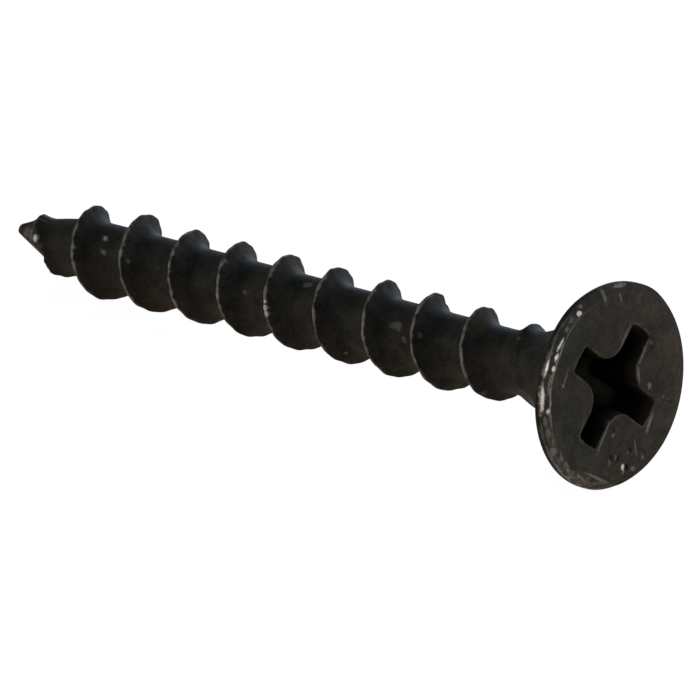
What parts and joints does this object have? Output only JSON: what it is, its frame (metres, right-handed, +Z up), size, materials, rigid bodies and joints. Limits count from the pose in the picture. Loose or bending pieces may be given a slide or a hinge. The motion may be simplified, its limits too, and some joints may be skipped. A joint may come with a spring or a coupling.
{
  "type": "cross head drywall screw",
  "caption": "Coarse thread drywall screw with a flat-faced bugle head, a cross recess and a sharp point, in black phosphated steel.",
  "frame": {"origin": "floor level under the middle of the lying screw", "axes": "+X towards the head, +Y across the screw, +Z up; the screw's axis lies in the XZ plane and rises 5.1 degrees towards the head"},
  "size_m": [0.032, 0.0082, 0.0082],
  "materials": {
    "black_phosphate": "matt black phosphate, worn through to grey steel on the rim, the crests and in scratches"
  },
  "bodies": {
    "root": {"screw": "black_phosphate"}
  },
  "joints": []
}
